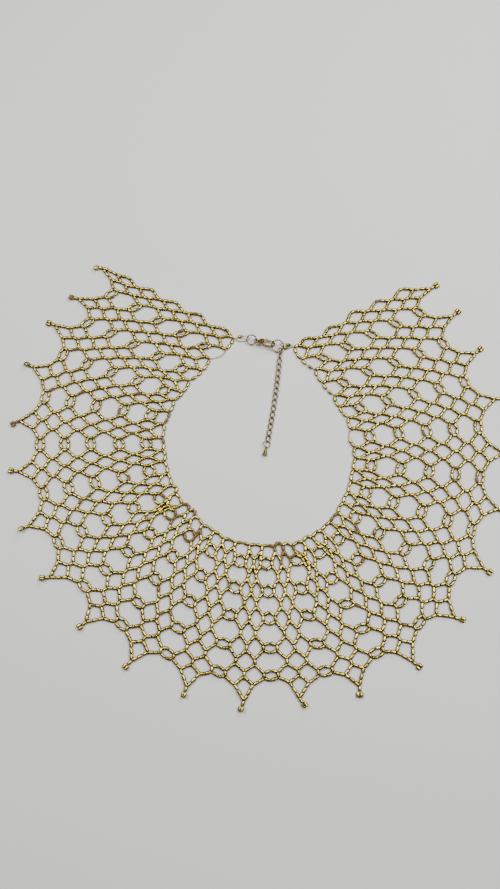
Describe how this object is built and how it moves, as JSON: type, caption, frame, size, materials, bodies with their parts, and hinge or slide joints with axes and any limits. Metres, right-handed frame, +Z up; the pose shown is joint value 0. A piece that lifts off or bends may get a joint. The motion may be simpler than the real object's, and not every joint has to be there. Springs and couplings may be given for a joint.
{
  "type": "beaded collar necklace",
  "caption": "Wide openwork collar netted from short gold bugle beads, with a pointed outer edge, a lobster clasp, an extender chain and a small cone drop.",
  "frame": {"origin": "on the resting plane under the middle of the collar's bounding box", "axes": "+Z up, away from the surface the collar lies on; +Y towards the clasp at the back of the neck; +X to the wearer's side that carries the extender chain"},
  "size_m": [0.3114, 0.28, 0.0058],
  "materials": {
    "gold_beads": "bright metallic gold glass bugle beads",
    "chain_brass": "satin antique gold wire",
    "clasp_gold": "polished antique gold casting",
    "lever_gold": "polished pale gold lever"
  },
  "bodies": {
    "collar": {"net_panel_01": "gold_beads", "net_panel_02": "gold_beads", "net_panel_03": "gold_beads", "net_panel_04": "gold_beads", "net_panel_05": "gold_beads", "net_panel_06": "gold_beads", "net_panel_07": "gold_beads", "net_panel_08": "gold_beads", "net_panel_09": "gold_beads", "net_panel_10": "gold_beads", "net_panel_11": "gold_beads", "net_panel_12": "gold_beads", "net_panel_13": "gold_beads", "net_panel_14": "gold_beads", "net_panel_15": "gold_beads", "net_panel_16": "gold_beads", "net_panel_17": "gold_beads", "net_panel_18": "gold_beads", "net_panel_19": "gold_beads", "net_panel_20": "gold_beads", "net_panel_21": "gold_beads", "net_panel_22": "gold_beads", "net_panel_23": "gold_beads", "neck_edge": "gold_beads", "end_loop_left": "gold_beads", "end_loop_right": "gold_beads", "jump_ring_left": "chain_brass", "jump_ring_right": "chain_brass", "clasp_body": "clasp_gold", "chain_link_01": "chain_brass", "chain_link_02": "chain_brass", "chain_link_03": "chain_brass", "chain_link_04": "chain_brass", "chain_link_05": "chain_brass", "chain_link_06": "chain_brass", "chain_link_07": "chain_brass", "chain_link_08": "chain_brass", "chain_link_09": "chain_brass", "chain_link_10": "chain_brass", "chain_link_11": "chain_brass", "chain_link_12": "chain_brass", "chain_link_13": "chain_brass", "chain_link_14": "chain_brass", "chain_link_15": "chain_brass", "chain_link_16": "chain_brass", "end_ring": "chain_brass", "drop": "clasp_gold"},
    "lever": {"clasp_lever": "lever_gold"}
  },
  "joints": [
    {"name": "clasp_lever_pivot", "type": "hinge", "parent": "collar", "child": "lever", "pos_m": [0.00131, 0.08525, 0.00262], "axis": [-0.0856, -0.3311, -0.9397], "range_deg": [0, 22], "stiffness_Nm_per_rad": 0.001}
  ]
}
